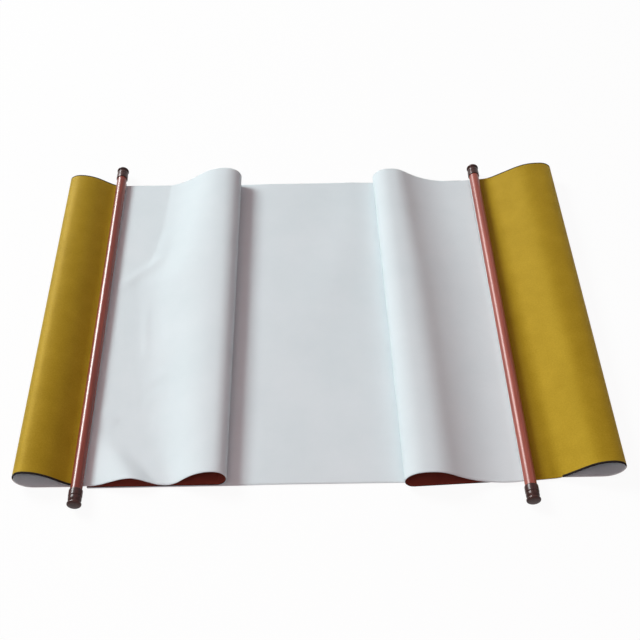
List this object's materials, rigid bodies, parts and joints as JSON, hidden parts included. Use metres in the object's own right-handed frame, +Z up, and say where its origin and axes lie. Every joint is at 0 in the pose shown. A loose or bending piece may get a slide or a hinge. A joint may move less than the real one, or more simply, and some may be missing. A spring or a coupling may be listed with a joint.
{
  "type": "water writing cloth scroll",
  "caption": "Water writing cloth between capped wooden rods, lying loosely unrolled in soft folds, its yellow-backed ends looping out past the rods.",
  "frame": {"origin": "on the underside of the flat middle panel, half way between the rods' axes and half way across the cloth, on the table", "axes": "+X from the left rod to the right rod, along the cloth's length; +Y away from the viewer, along the rods; +Z up from the table"},
  "size_m": [0.576, 0.4813, 0.0288],
  "materials": {
    "writing_cloth": "smooth matte white face over a dark red-brown back",
    "cover_cloth": "matte mustard yellow fine cloth",
    "rod_wood": "glossy lacquered reddish-brown wood",
    "cap_wood": "glossy lacquered dark brown turned wood"
  },
  "bodies": {
    "root": {"writing_cloth": "writing_cloth", "left_cover": "cover_cloth", "right_cover": "cover_cloth", "left_rod": "rod_wood", "right_rod": "rod_wood", "left_front_cap": "cap_wood", "left_back_cap": "cap_wood", "right_front_cap": "cap_wood", "right_back_cap": "cap_wood"}
  },
  "joints": []
}
